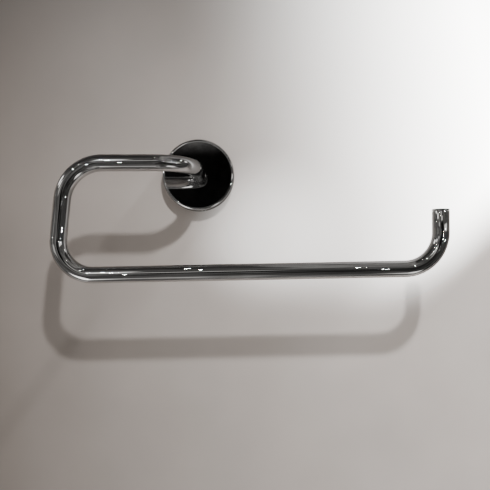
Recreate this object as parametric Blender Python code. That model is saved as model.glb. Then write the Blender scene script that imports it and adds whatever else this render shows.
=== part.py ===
"""Wall-mounted paper towel holder: an open chromed arm on a round rosette.

Frame: metres, +Z up, +X to the right, the wall is the plane y = 0 and the holder stands out of it
towards -Y. The origin is the middle of the wall bracket's back face.

Every piece is its own closed solid. Pieces that touch on the real holder keep FIT_GAP between them.
"""

import math

import bmesh
import bpy
from mathutils import Matrix, Vector

MM = 0.001
FIT_GAP = 0.3 * MM

# Arm: one bent tube, followed from the rosette outwards
TUBE_RADIUS = 5.0 * MM
TUBE_WALL = 1.0 * MM
TUBE_SIDES = 24
BEND_STEP = math.radians(11.0)
SMALL_SIDES = 24                # facets round the bolts, washers and screws
SOFT_ANGLE = math.radians(35.0)     # edges that turn by more than this stay sharp
CHAMFER = 0.5 * MM              # general chamfer of turned and cast edges
ARM_REACH = 58.0 * MM           # wall to the plane that the arm lies in
ELBOW_RADIUS = 22.0 * MM
RAIL_LENGTH = 53.0 * MM         # post axis to the start of the first bend
UPPER_BEND_RADIUS = 24.0 * MM
LEG_LENGTH = 23.0 * MM
LOWER_BEND_RADIUS = 20.5 * MM
BAR_LENGTH = 186.5 * MM
TIP_BEND_RADIUS = 22.0 * MM
TIP_LENGTH = 12.5 * MM          # straight part of the tip, up to the end plug's seam
LEG_LEAN = math.radians(5.5)    # the leg's foot stands further out than its top
BAR_RISE = math.radians(1.0)    # the bar climbs a little towards the tip, which keeps the roll on

# End plug: a cap as wide as the tube, on a spigot inside it
PLUG_CAP = 1.1 * MM
PLUG_EDGE = 0.5 * MM            # rounding of the cap
PLUG_EDGE_STEPS = 3
PLUG_SPIGOT = 6.0 * MM

# Rosette: a turned cup that hides the bracket
ROSETTE_RADIUS = 25.0 * MM
ROSETTE_DEPTH = 10.0 * MM
ROSETTE_FLOOR = 2.0 * MM
ROSETTE_RIM = 2.5 * MM
ROSETTE_EDGE = 2.0 * MM
ROSETTE_EDGE_STEPS = 6
ROSETTE_SIDES = 64

# Arm bolt, M5 button head, with its washers, inside the rosette
BOLT_RADIUS = 2.5 * MM
BOLT_LENGTH = 15.0 * MM
BOLT_HEAD_RADIUS = 4.75 * MM
BOLT_HEAD_HEIGHT = 2.7 * MM
BOLT_HEAD_DOME = 75.0           # degrees of arc between its rim and its flat
BOLT_HEAD_STEPS = 5
BOLT_SOCKET = 3.0 * MM          # across flats
BOLT_SOCKET_FLOOR = 0.9 * MM    # thickness of the head under its socket
WASHER_RADIUS = 5.0 * MM
PLAIN_WASHER_THICKNESS = 0.8 * MM
LOCK_WASHER_THICKNESS = 0.9 * MM
LOCK_WASHER_RISE = 0.25 * MM    # how far one end of the split ring stands off the other
LOCK_WASHER_GAP = math.radians(9.0)
FERRULE_LENGTH = 14.0 * MM

# Wall bracket: a die-cast dish whose rim the rosette slides over
BRACKET_BASE = 2.8 * MM
BRACKET_DEPTH = 7.5 * MM
BRACKET_RIM = 3.0 * MM
BRACKET_DOVETAIL = 0.25 * MM    # the rim is this much slimmer at the wall than at its front
BRACKET_CENTRE_PAD = 8.0 * MM
BOLT_RECESS_RADIUS = 7.0 * MM
BOLT_RECESS_FLOOR = 1.6 * MM
BRACKET_SIDES = 64

# Wall screws, 4 mm countersunk, and their plugs
SCREW_SPACING = 28.0 * MM
SCREW_RADIUS = 2.0 * MM
SCREW_HEAD_RADIUS = 3.8 * MM
SCREW_LENGTH = 30.0 * MM
SCREW_TIP = 3.0 * MM
CROSS_WIDTH = 1.0 * MM
CROSS_REACH = 2.2 * MM
CROSS_DEPTH = 1.6 * MM
PLUG_RADIUS = 3.0 * MM
PLUG_LENGTH = 28.0 * MM
PLUG_SIDES = 16
PLUG_SUNK = 2.3 * MM            # its mouth below the wall's surface
PLUG_COLLAR = 4.0 * MM          # plain part at its mouth
PLUG_NOSE = 2.0 * MM            # plain part past its ribs
PLUG_RIBS = 6
PLUG_RIB_DEPTH = 0.35 * MM
PLUG_RIB_FLANK = 0.2            # share of a rib's length that its steep flank takes
PLUG_SLOT_WIDTH = 0.9 * MM
PLUG_SLOT_LENGTH = 18.0 * MM

# Grub screw, M4 with a cone point, through the rosette's rim at the bottom
GRUB_RADIUS = 2.0 * MM
GRUB_HEIGHT = 5.5 * MM          # its axis above the wall
GRUB_TURN = math.radians(8.0)   # from straight down towards the right
GRUB_SIDES = 20
GRUB_POINT = 1.0 * MM           # length of its cone
GRUB_TIP_GAP = 0.2 * MM         # clearance between its point and the bracket's rim
GRUB_SOCKET = 2.0 * MM          # across flats
GRUB_SOCKET_DEPTH = 1.1 * MM
GRUB_SUNK = 0.4 * MM            # its outer end below the rim's surface
GRUB_MOUTH_RADIUS = 3.0 * MM    # the hole's countersunk mouth

CUTTER_MARGIN = 1.0 * MM

# Worked out from the sizes above
TUBE_BORE = TUBE_RADIUS - TUBE_WALL
POST_START = ROSETTE_DEPTH + FIT_GAP
PLUG_FIT_RADIUS = TUBE_BORE - FIT_GAP
BOLT_HOLE_RADIUS = BOLT_RADIUS + FIT_GAP
ROSETTE_BORE = ROSETTE_RADIUS - ROSETTE_RIM
BRACKET_RADIUS = ROSETTE_BORE - FIT_GAP
SCREW_HOLE_RADIUS = SCREW_RADIUS + FIT_GAP
GRUB_HOLE_RADIUS = GRUB_RADIUS + FIT_GAP

OUT_OF_WALL = (math.pi / 2, 0.0, 0.0)     # turns a piece's own +Z to -Y
INTO_WALL = (-math.pi / 2, 0.0, 0.0)      # turns a piece's own +Z to +Y


def clear_scene():
    """Removes the objects that a new file starts with."""
    for item in list(bpy.data.objects):
        bpy.data.objects.remove(item, do_unlink=True)


def material(name, colour, metallic, roughness):
    """A plain material that stands for one material slot."""
    finish = bpy.data.materials.new(name)
    finish.use_nodes = True
    shader = finish.node_tree.nodes["Principled BSDF"]
    shader.inputs["Base Color"].default_value = (*colour, 1.0)
    shader.inputs["Metallic"].default_value = metallic
    shader.inputs["Roughness"].default_value = roughness
    return finish


def finish_object(name, bm, finish):
    """Turns a bmesh into a named object with outward normals and smooth round sides."""
    bmesh.ops.recalc_face_normals(bm, faces=bm.faces)
    mesh = bpy.data.meshes.new(name)
    bm.to_mesh(mesh)
    bm.free()
    mesh.shade_smooth()
    mesh.set_sharp_from_angle(angle=SOFT_ANGLE)
    item = bpy.data.objects.new(name, mesh)
    bpy.context.scene.collection.objects.link(item)
    if finish:
        mesh.materials.append(finish)
    return item


def empty(name, parent=None, location=(0.0, 0.0, 0.0)):
    """An empty that stands for one moving body."""
    item = bpy.data.objects.new(name, None)
    item.empty_display_size = 10.0 * MM
    bpy.context.scene.collection.objects.link(item)
    item.parent = parent
    item.location = location
    return item


def place(item, parent, location=(0.0, 0.0, 0.0), rotation=(0.0, 0.0, 0.0)):
    """Hangs a piece on its parent, moved and turned in the parent's own frame."""
    item.parent = parent
    item.location = location
    item.rotation_euler = rotation


def arc(centre, radius, start, end, steps):
    """Points (r, z) on an arc of a turned profile, angles in degrees from +r towards +z."""
    points = []
    for i in range(steps + 1):
        angle = math.radians(start + (end - start) * i / steps)
        points.append((centre[0] + radius * math.cos(angle), centre[1] + radius * math.sin(angle)))
    return points


def turned(name, profile, steps, finish=None, ring=False):
    """Spins a profile of (r, z) points round +Z; a ring's profile closes on itself."""
    bm = bmesh.new()
    verts = [bm.verts.new((r, 0.0, z)) for r, z in profile]
    edges = [bm.edges.new(pair) for pair in zip(verts, verts[1:])]
    if ring:
        edges.append(bm.edges.new((verts[-1], verts[0])))
    bmesh.ops.spin(
        bm, geom=verts + edges, cent=(0, 0, 0), axis=(0, 0, 1),
        angle=2 * math.pi, steps=steps, use_merge=True,
    )
    bmesh.ops.remove_doubles(bm, verts=bm.verts, dist=0.001 * MM)
    return finish_object(name, bm, finish)


def hexagon_prism(name, flats, low, high):
    """A straight six-sided prism round +Z, as wide across its flats as a key."""
    bm = bmesh.new()
    corner = flats / math.sqrt(3)
    bmesh.ops.create_cone(
        bm, cap_ends=True, segments=6, radius1=corner, radius2=corner, depth=high - low,
    )
    bmesh.ops.translate(bm, verts=bm.verts, vec=(0, 0, (low + high) / 2))
    return finish_object(name, bm, None)


def cross_prism(name, width, reach, low, high):
    """A straight prism with a plus-shaped section, such as a cross recess."""
    bm = bmesh.new()
    bmesh.ops.create_grid(bm, x_segments=3, y_segments=3, size=1.0)
    corners = [f for f in bm.faces if min(abs(c) for c in f.calc_center_median().xy) > 0.5]
    bmesh.ops.delete(bm, geom=corners, context="FACES")
    for vert in bm.verts:
        for axis in (0, 1):
            size = reach if abs(vert.co[axis]) > 0.9 else width / 2
            vert.co[axis] = math.copysign(size, vert.co[axis])
        vert.co.z = low
    grown = bmesh.ops.extrude_face_region(bm, geom=bm.faces)
    top = [g for g in grown["geom"] if isinstance(g, bmesh.types.BMVert)]
    bmesh.ops.translate(bm, verts=top, vec=(0, 0, high - low))
    return finish_object(name, bm, None)


def block(name, size, centre):
    """A box along the axes."""
    bm = bmesh.new()
    bmesh.ops.create_cube(bm, size=1.0)
    bmesh.ops.scale(bm, verts=bm.verts, vec=size)
    bmesh.ops.translate(bm, verts=bm.verts, vec=centre)
    return finish_object(name, bm, None)


def cut(item, cutter, location=(0.0, 0.0, 0.0), rotation=(0.0, 0.0, 0.0)):
    """Cuts one solid out of another with a Boolean that stays live on the piece."""
    place(cutter, item, location, rotation)
    cutter.display_type = "WIRE"
    cutter.hide_render = True
    modifier = item.modifiers.new(cutter.name, "BOOLEAN")
    modifier.operation = "DIFFERENCE"
    modifier.solver = "EXACT"
    modifier.object = cutter


class TubeBender:
    """Feeds a round tube forward and bends it, as a tube bender does."""

    def __init__(self, start, heading):
        self.bm = bmesh.new()
        self.position = Vector(start)
        self.heading = Vector(heading)
        bmesh.ops.create_circle(self.bm, cap_ends=True, segments=TUBE_SIDES, radius=TUBE_RADIUS)
        bmesh.ops.inset_individual(self.bm, faces=list(self.bm.faces), thickness=TUBE_WALL)
        bore = max(self.bm.faces, key=lambda face: len(face.verts))
        bmesh.ops.delete(self.bm, geom=[bore], context="FACES")
        turn = Vector((0, 0, 1)).rotation_difference(self.heading).to_matrix()
        bmesh.ops.rotate(self.bm, verts=self.bm.verts, cent=(0, 0, 0), matrix=turn)
        bmesh.ops.translate(self.bm, verts=self.bm.verts, vec=self.position)
        self.open_end = list(self.bm.faces)
        self.has_length = False

    def advance(self, grown):
        """Makes the newest faces the open end; only the tube's first end keeps its own."""
        if self.has_length:
            bmesh.ops.delete(self.bm, geom=self.open_end, context="FACES")
        self.open_end = [g for g in grown if isinstance(g, bmesh.types.BMFace)]
        self.has_length = True

    def feed(self, length):
        """Pushes the tube's open end straight on."""
        step = self.heading * length
        grown = bmesh.ops.extrude_face_region(self.bm, geom=self.open_end)["geom"]
        verts = [g for g in grown if isinstance(g, bmesh.types.BMVert)]
        bmesh.ops.translate(self.bm, verts=verts, vec=step)
        self.advance(grown)
        self.position += step

    def bend(self, radius, angle, axis):
        """Turns the tube's open end round an axis, right-handed, on a centreline radius."""
        axis = Vector(axis)
        centre = self.position + radius * axis.cross(self.heading)
        grown = bmesh.ops.spin(
            self.bm, geom=self.open_end, cent=centre, axis=axis, angle=angle,
            steps=round(angle / BEND_STEP),
        )["geom_last"]
        self.advance(grown)
        turn = Matrix.Rotation(angle, 3, axis)
        self.position = centre + turn @ (self.position - centre)
        self.heading = turn @ self.heading


def make_arm_tube(chrome):
    """Post, elbow, rail, leg, bar and tip, bent from one tube; origin in the middle of its wall end."""
    sideways = (0, -1, 0)       # turns the tube counter-clockwise as seen from the room
    bender = TubeBender((0, 0, 0), (0, -1, 0))
    bender.feed(ARM_REACH - POST_START - ELBOW_RADIUS)
    bender.bend(ELBOW_RADIUS, math.pi / 2, (0, 0, -1))
    bender.feed(RAIL_LENGTH - ELBOW_RADIUS)
    bender.bend(UPPER_BEND_RADIUS, math.pi / 2 - LEG_LEAN, sideways)
    bender.feed(LEG_LENGTH)
    bender.bend(LOWER_BEND_RADIUS, math.pi / 2 + LEG_LEAN + BAR_RISE, sideways)
    bender.feed(BAR_LENGTH)
    bender.bend(TIP_BEND_RADIUS, math.pi / 2 - BAR_RISE, sideways)
    bender.feed(TIP_LENGTH)
    return finish_object("arm_tube", bender.bm, chrome), bender.position


def make_end_plug(chrome):
    """Cap and spigot, origin at the seam, +Z out of the tube."""
    edge_centre = (TUBE_RADIUS - PLUG_EDGE, PLUG_CAP - PLUG_EDGE)
    edge = arc(edge_centre, PLUG_EDGE, 0, 90, PLUG_EDGE_STEPS)
    profile = [
        (0, -PLUG_SPIGOT), (PLUG_FIT_RADIUS - CHAMFER, -PLUG_SPIGOT),
        (PLUG_FIT_RADIUS, -PLUG_SPIGOT + CHAMFER), (PLUG_FIT_RADIUS, 0), (TUBE_RADIUS, 0),
        *edge, (0, PLUG_CAP),
    ]
    return turned("end_plug", profile, TUBE_SIDES, chrome)


def make_post_ferrule(brass):
    """Threaded insert in the post, origin at the tube's wall end, +Z up the post."""
    profile = [
        (BOLT_HOLE_RADIUS, 0), (PLUG_FIT_RADIUS, 0), (PLUG_FIT_RADIUS, FERRULE_LENGTH),
        (BOLT_HOLE_RADIUS, FERRULE_LENGTH),
    ]
    return turned("post_ferrule", profile, TUBE_SIDES, brass, ring=True)


def make_rosette(chrome):
    """Round cup, origin on the wall, +Z towards the room; centre hole and grub screw hole cut."""
    edge_centre = (ROSETTE_RADIUS - ROSETTE_EDGE, ROSETTE_DEPTH - ROSETTE_EDGE)
    edge = arc(edge_centre, ROSETTE_EDGE, 0, 90, ROSETTE_EDGE_STEPS)
    profile = [
        (BOLT_HOLE_RADIUS, ROSETTE_DEPTH - ROSETTE_FLOOR), (ROSETTE_BORE, ROSETTE_DEPTH - ROSETTE_FLOOR),
        (ROSETTE_BORE, 0), (ROSETTE_RADIUS, 0), *edge, (BOLT_HOLE_RADIUS, ROSETTE_DEPTH),
    ]
    rosette = turned("rosette_cover", profile, ROSETTE_SIDES, chrome, ring=True)
    mouth = GRUB_MOUTH_RADIUS - GRUB_HOLE_RADIUS
    hole = [
        (0, ROSETTE_BORE - CUTTER_MARGIN), (GRUB_HOLE_RADIUS, ROSETTE_BORE - CUTTER_MARGIN),
        (GRUB_HOLE_RADIUS, ROSETTE_RADIUS - mouth),
        (GRUB_MOUTH_RADIUS + CUTTER_MARGIN, ROSETTE_RADIUS + CUTTER_MARGIN),
        (0, ROSETTE_RADIUS + CUTTER_MARGIN),
    ]
    cutter = turned("rosette_grub_hole", hole, SMALL_SIDES)
    # In the rosette's own frame the wall is z = 0, up is +Y, and the hole runs down to -Y.
    cut(rosette, cutter, (0, 0, GRUB_HEIGHT), (math.pi / 2, 0, GRUB_TURN))
    return rosette


def make_arm_bolt(steel):
    """Button head bolt, origin under its head, +Z along its shank."""
    dome = arc((0, 0), 1, 0, BOLT_HEAD_DOME, BOLT_HEAD_STEPS)
    head = [(BOLT_HEAD_RADIUS * r, -BOLT_HEAD_HEIGHT * z) for r, z in dome]
    profile = [
        (0, BOLT_LENGTH), (BOLT_RADIUS - CHAMFER, BOLT_LENGTH),
        (BOLT_RADIUS, BOLT_LENGTH - CHAMFER), (BOLT_RADIUS, 0), *head, (0, head[-1][1]),
    ]
    bolt = turned("arm_bolt", profile, SMALL_SIDES, steel)
    outside = -BOLT_HEAD_HEIGHT - CUTTER_MARGIN
    cut(bolt, hexagon_prism("bolt_socket", BOLT_SOCKET, outside, -BOLT_SOCKET_FLOOR))
    return bolt


def make_plain_washer(steel):
    """Flat ring, origin in its hole at one face, +Z through it."""
    profile = [
        (BOLT_HOLE_RADIUS, 0), (WASHER_RADIUS, 0), (WASHER_RADIUS, PLAIN_WASHER_THICKNESS),
        (BOLT_HOLE_RADIUS, PLAIN_WASHER_THICKNESS),
    ]
    return turned("plain_washer", profile, SMALL_SIDES, steel, ring=True)


def make_lock_washer(steel):
    """Split spring washer: a square wire wound almost once round, one end a little higher."""
    bm = bmesh.new()
    radius_out = BOLT_HEAD_RADIUS - FIT_GAP
    corners = [
        (BOLT_HOLE_RADIUS, 0), (radius_out, 0), (radius_out, LOCK_WASHER_THICKNESS),
        (BOLT_HOLE_RADIUS, LOCK_WASHER_THICKNESS),
    ]
    verts = [bm.verts.new((r, 0, z)) for r, z in corners]
    section = bm.faces.new(verts)
    bmesh.ops.spin(
        bm, geom=[section], cent=(0, 0, 0), axis=(0, 0, 1), angle=2 * math.pi - LOCK_WASHER_GAP,
        steps=SMALL_SIDES, dvec=(0, 0, LOCK_WASHER_RISE / SMALL_SIDES),
    )
    return finish_object("lock_washer", bm, steel)


def make_grub_screw(steel):
    """Socket set screw, origin on the rosette's axis line, +Z outwards along the screw."""
    tip = BRACKET_RADIUS + GRUB_TIP_GAP
    top = ROSETTE_RADIUS - GRUB_SUNK
    point = tip + GRUB_POINT
    profile = [
        (0, tip), (GRUB_RADIUS / 2, tip), (GRUB_RADIUS, point), (GRUB_RADIUS, top), (0, top),
    ]
    grub = turned("grub_screw", profile, GRUB_SIDES, steel)
    cut(grub, hexagon_prism("grub_socket", GRUB_SOCKET, top - GRUB_SOCKET_DEPTH, top + CUTTER_MARGIN))
    return grub


def make_wall_bracket(zinc):
    """Dish with a flat back, origin on the wall, +Z towards the room."""
    inner_rim = BRACKET_RADIUS - BRACKET_RIM
    profile = [
        (0, 0), (BRACKET_CENTRE_PAD, 0), (BRACKET_RADIUS - BRACKET_DOVETAIL, 0),
        (BRACKET_RADIUS, BRACKET_DEPTH - CHAMFER), (BRACKET_RADIUS - CHAMFER, BRACKET_DEPTH),
        (inner_rim, BRACKET_DEPTH), (inner_rim, BRACKET_BASE), (BOLT_RECESS_RADIUS, BRACKET_BASE),
        (BOLT_RECESS_RADIUS, BOLT_RECESS_FLOOR), (0, BOLT_RECESS_FLOOR),
    ]
    bracket = turned("wall_bracket", profile, BRACKET_SIDES, zinc)
    slope = FIT_GAP * math.sqrt(2)
    wide = SCREW_HEAD_RADIUS + slope
    hole = [
        (0, -CUTTER_MARGIN), (SCREW_HOLE_RADIUS, -CUTTER_MARGIN),
        (SCREW_HOLE_RADIUS, BRACKET_BASE - (wide - SCREW_HOLE_RADIUS)), (wide, BRACKET_BASE),
        (wide, BRACKET_BASE + CUTTER_MARGIN), (0, BRACKET_BASE + CUTTER_MARGIN),
    ]
    for side in (1, -1):
        cutter = turned("bracket_screw_hole", hole, SMALL_SIDES)
        cut(bracket, cutter, (0, side * SCREW_SPACING / 2, 0))
    return bracket


def make_wall_screw(name, steel):
    """Countersunk screw, origin at the top of its head, +Z towards its tip."""
    cone = SCREW_HEAD_RADIUS - SCREW_RADIUS
    profile = [
        (0, 0), (SCREW_HEAD_RADIUS, 0), (SCREW_RADIUS, cone), (SCREW_RADIUS, SCREW_LENGTH - SCREW_TIP),
        (0, SCREW_LENGTH),
    ]
    screw = turned(name, profile, SMALL_SIDES, steel)
    cross = cross_prism(name + "_recess", CROSS_WIDTH, CROSS_REACH, -CUTTER_MARGIN, CROSS_DEPTH)
    cut(screw, cross)
    return screw


def make_wall_plug(name, nylon):
    """Ribbed expansion plug, origin at its mouth, +Z into the wall, slotted from its far end."""
    rib_length = (PLUG_LENGTH - PLUG_COLLAR - PLUG_NOSE) / PLUG_RIBS
    outline = [(PLUG_RADIUS, 0), (PLUG_RADIUS, PLUG_COLLAR)]
    for rib in range(PLUG_RIBS):
        start = PLUG_COLLAR + rib * rib_length
        outline.append((PLUG_RADIUS - PLUG_RIB_DEPTH, start + PLUG_RIB_FLANK * rib_length))
        outline.append((PLUG_RADIUS, start + rib_length))
    profile = [
        (SCREW_HOLE_RADIUS, 0), *outline, (PLUG_RADIUS - CHAMFER, PLUG_LENGTH),
        (SCREW_HOLE_RADIUS, PLUG_LENGTH),
    ]
    plug = turned(name, profile, PLUG_SIDES, nylon, ring=True)
    size = (PLUG_SLOT_WIDTH, 3 * PLUG_RADIUS, PLUG_SLOT_LENGTH + CUTTER_MARGIN)
    centre = (0, 0, PLUG_LENGTH + CUTTER_MARGIN - size[2] / 2)
    cut(plug, block(name + "_slot", size, centre))
    return plug


def main():
    clear_scene()
    chrome = material("chrome_plate", (0.86, 0.86, 0.87), 1.0, 0.06)
    zinc_plated = material("zinc_plated_steel", (0.62, 0.63, 0.65), 1.0, 0.35)
    stainless = material("stainless_steel", (0.58, 0.57, 0.55), 1.0, 0.28)
    die_cast = material("die_cast_zinc", (0.45, 0.46, 0.47), 0.9, 0.5)
    brass = material("brass", (0.75, 0.58, 0.28), 1.0, 0.3)
    nylon = material("grey_nylon", (0.42, 0.43, 0.44), 0.0, 0.55)

    wall_side = empty("wall_side_body")
    rosette_body = empty("rosette_slide_axis", wall_side)
    arm_body = empty("arm_turn_axis", rosette_body, (0, -POST_START, 0))

    place(make_wall_bracket(die_cast), wall_side, rotation=OUT_OF_WALL)
    for side, which in ((1, "upper"), (-1, "lower")):
        height = side * SCREW_SPACING / 2
        screw = make_wall_screw("wall_screw_" + which, zinc_plated)
        place(screw, wall_side, (0, -BRACKET_BASE, height), INTO_WALL)
        plug = make_wall_plug("wall_plug_" + which, nylon)
        place(plug, wall_side, (0, PLUG_SUNK, height), INTO_WALL)

    place(make_rosette(chrome), rosette_body, rotation=OUT_OF_WALL)
    grub_axis = empty("grub_screw_axis", rosette_body, (0, -GRUB_HEIGHT, 0))
    place(make_grub_screw(stainless), grub_axis, rotation=(0, math.pi - GRUB_TURN, 0))

    arm_tube, tip = make_arm_tube(chrome)
    place(arm_tube, arm_body)
    place(make_end_plug(chrome), arm_body, tip + Vector((0, 0, FIT_GAP)))
    place(make_post_ferrule(brass), arm_body, rotation=OUT_OF_WALL)
    inner_floor = POST_START - (ROSETTE_DEPTH - ROSETTE_FLOOR)
    washer_seat = inner_floor + FIT_GAP + PLAIN_WASHER_THICKNESS
    lock_seat = washer_seat + FIT_GAP + LOCK_WASHER_THICKNESS + LOCK_WASHER_RISE
    head_seat = lock_seat + FIT_GAP
    place(make_plain_washer(zinc_plated), arm_body, (0, washer_seat, 0), OUT_OF_WALL)
    place(make_lock_washer(zinc_plated), arm_body, (0, lock_seat, 0), OUT_OF_WALL)
    place(make_arm_bolt(zinc_plated), arm_body, (0, head_seat, 0), OUT_OF_WALL)


main()
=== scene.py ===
"""Looks for the wall-mounted paper towel holder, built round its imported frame."""

import logging
import math
from collections.abc import Iterable, Sequence
from dataclasses import dataclass
from enum import Enum

import bmesh
import bpy
from mathutils import Matrix, Vector


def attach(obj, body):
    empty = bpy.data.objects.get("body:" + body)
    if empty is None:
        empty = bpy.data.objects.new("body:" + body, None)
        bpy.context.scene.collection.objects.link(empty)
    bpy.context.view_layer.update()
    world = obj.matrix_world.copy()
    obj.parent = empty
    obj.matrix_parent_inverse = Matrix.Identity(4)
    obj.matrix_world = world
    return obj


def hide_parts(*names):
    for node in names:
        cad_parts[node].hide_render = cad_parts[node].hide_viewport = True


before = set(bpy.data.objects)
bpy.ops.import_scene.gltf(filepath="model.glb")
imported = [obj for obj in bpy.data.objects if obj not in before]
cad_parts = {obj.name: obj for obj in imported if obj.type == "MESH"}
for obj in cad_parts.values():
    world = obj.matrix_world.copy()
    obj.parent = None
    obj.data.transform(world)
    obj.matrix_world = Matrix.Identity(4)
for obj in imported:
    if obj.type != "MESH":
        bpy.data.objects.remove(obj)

MM = 0.001
FULL_TURN = 2.0 * math.pi
MERGE = 0.002 * MM
CUTTER_MARGIN = 1.0 * MM
SHARP_ANGLE = math.radians(38.0)

OUT_OF_WALL = Matrix.Rotation(math.pi / 2, 4, "X")
INTO_WALL = Matrix.Rotation(-math.pi / 2, 4, "X")

log = logging.getLogger("paper_towel_holder")

Point = tuple[float, float]


class Body(Enum):
    """The moving bodies of the holder."""

    WALL_SIDE = "wall_side"
    ROSETTE = "rosette"
    ARM = "arm"
    GRUB = "grub"


class Slot(Enum):
    """The material slots of the record."""

    CHROME = "chrome_plate"
    ZINC_PLATE = "zinc_plated_steel"
    STAINLESS = "stainless_steel"
    DIE_CAST = "die_cast_zinc"
    BRASS = "brass"
    NYLON = "grey_nylon"


# ---------------------------------------------------------------- materials


def linear(hex_colour: str) -> tuple[float, float, float, float]:
    """Turns an sRGB hex colour into linear RGBA.

    Args:
        hex_colour: Six hex digits, with or without a hash.

    Returns:
        Linear red, green, blue and an alpha of 1.
    """
    digits = hex_colour.lstrip("#")
    parts = [int(digits[i : i + 2], 16) / 255.0 for i in (0, 2, 4)]
    red, green, blue = (p / 12.92 if p <= 0.04045 else ((p + 0.055) / 1.055) ** 2.4 for p in parts)
    return (red, green, blue, 1.0)


def add_node(tree: bpy.types.NodeTree, kind: str, inputs: dict | None = None, **settings) -> bpy.types.Node:
    """Adds a node, with its settings and what its inputs hold or are linked to.

    Args:
        tree: The node tree to add to.
        kind: The node's type name.
        inputs: Input name or number to a value, to an output socket, or to a node for its first output.
        **settings: Attributes of the node itself.

    Returns:
        The new node.
    """
    node = tree.nodes.new(kind)
    for name, value in settings.items():
        setattr(node, name, value)
    for name, value in (inputs or {}).items():
        if isinstance(value, bpy.types.Node):
            value = value.outputs[0]
        if isinstance(value, bpy.types.NodeSocket):
            tree.links.new(value, node.inputs[name])
        else:
            node.inputs[name].default_value = value
    return node


def new_material(name: str) -> tuple[bpy.types.Material, bpy.types.NodeTree, bpy.types.Node]:
    """Starts a node material, and gives it with its tree and its shader."""
    material = bpy.data.materials.new(name)
    material.use_nodes = True
    return material, material.node_tree, material.node_tree.nodes["Principled BSDF"]


@dataclass(frozen=True)
class Finish:
    """A surface: a colour that varies a little, a roughness that varies, and a fine relief.

    Attributes:
        name: What the surface is.
        colour: Main colour, sRGB hex.
        shade: Colour of its duller patches, sRGB hex.
        metallic: 1 for bare or plated metal, 0 otherwise.
        roughness: Roughness where it is cleanest.
        rough_patch: Roughness in the duller patches.
        patch_size: Size of the patches, in metres.
        grain_size: Size of the relief's grain, in metres.
        grain_depth: Depth of the relief, in metres.
        grain_detail: Octaves of finer grain on top.
    """

    name: str
    colour: str
    shade: str
    metallic: float
    roughness: float
    rough_patch: float
    patch_size: float
    grain_size: float
    grain_depth: float
    grain_detail: float = 2.0

    def patches(self, tree: bpy.types.NodeTree, place: bpy.types.NodeSocket) -> bpy.types.Node:
        """Soft patches, 0 where clean and 1 where dull."""
        noise = add_node(
            tree, "ShaderNodeTexNoise",
            {"Vector": place, "Scale": 1.0 / self.patch_size, "Detail": 4.0, "Roughness": 0.6},
        )
        return add_node(tree, "ShaderNodeMapRange", {"Value": noise, "From Min": 0.42, "From Max": 0.68})

    def relief(self, tree: bpy.types.NodeTree, place: bpy.types.NodeSocket) -> bpy.types.Node:
        """The height of the fine relief, 0 to 1."""
        return add_node(tree, "ShaderNodeTexNoise", {
            "Vector": place, "Scale": 1.0 / self.grain_size, "Detail": self.grain_detail,
        })

    def build(self) -> bpy.types.Material:
        """Makes the node material.

        Returns:
            The finished material.
        """
        material, tree, shader = new_material(self.name)
        place = add_node(tree, "ShaderNodeTexCoord").outputs["Object"]
        patches = self.patches(tree, place)
        tone = add_node(
            tree, "ShaderNodeMix", {0: patches, 6: linear(self.colour), 7: linear(self.shade)},
            data_type="RGBA",
        )
        rough = add_node(tree, "ShaderNodeMapRange", {
            "Value": patches, "To Min": self.roughness, "To Max": self.rough_patch,
        })
        bump = add_node(tree, "ShaderNodeBump", {
            "Height": self.relief(tree, place), "Distance": self.grain_depth, "Strength": 1.0,
        })
        tree.links.new(tone.outputs[2], shader.inputs["Base Color"])
        tree.links.new(rough.outputs[0], shader.inputs["Roughness"])
        tree.links.new(bump.outputs[0], shader.inputs["Normal"])
        shader.inputs["Metallic"].default_value = self.metallic
        return material


@dataclass(frozen=True)
class TurnedMetal(Finish):
    """A metal turned on a lathe: fine rings round the post's axis on top of its grain.

    Attributes:
        ring_pitch: Distance from one tool mark to the next, in metres.
    """

    # The wave texture makes this many radians of wave on each unit of its scale.
    WAVE_RADIANS = 20.0

    ring_pitch: float = 0.25 * MM

    def relief(self, tree: bpy.types.NodeTree, place: bpy.types.NodeSocket) -> bpy.types.Node:
        """Tool marks as rings round the post's axis, roughened by the grain."""
        rings = add_node(
            tree, "ShaderNodeTexWave",
            {"Vector": place, "Scale": FULL_TURN / (self.WAVE_RADIANS * self.ring_pitch), "Distortion": 0.4},
            wave_type="RINGS", rings_direction="Y",
        )
        grain = super().relief(tree, place)
        return add_node(tree, "ShaderNodeMath", {0: rings.outputs["Fac"], 1: grain}, operation="ADD")


# Bright chromium plate on polished brass: almost a mirror, with faint wiping marks and the long
# shallow ripple that polishing leaves, which bends the reflections a little.
CHROME_PLATE = Finish(
    "bright_chrome_plate", "#CFD0D1", "#C8C8C8", 1.0, 0.012, 0.05, 18 * MM, 9 * MM, 0.004 * MM, 1.0,
)
# Zinc plate on steel: bluish silver, satin, with the cloudy patches of the passivation.
ZINC_PLATE = Finish("bright_zinc_plate", "#B9BDC2", "#A8A9A6", 1.0, 0.24, 0.38, 4 * MM, 0.35 * MM, 0.01 * MM)
# Turned stainless steel: warmer and darker than zinc, with tool marks on its ends.
STAINLESS = TurnedMetal(
    "turned_stainless", "#B4B1AC", "#9F9C97", 1.0, 0.2, 0.32, 3 * MM, 0.2 * MM, 0.006 * MM,
)
# Zinc alloy as it leaves the die: dull grey, finely pitted.
DIE_CAST = Finish("raw_zinc_casting", "#8E9092", "#7B7D80", 1.0, 0.42, 0.6, 8 * MM, 0.5 * MM, 0.05 * MM, 4.0)
# Free-cutting brass, turned: yellow, with tool marks, a little tarnished.
BRASS = TurnedMetal("turned_brass", "#CDA662", "#B08A4B", 1.0, 0.22, 0.4, 5 * MM, 0.25 * MM, 0.008 * MM)
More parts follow.
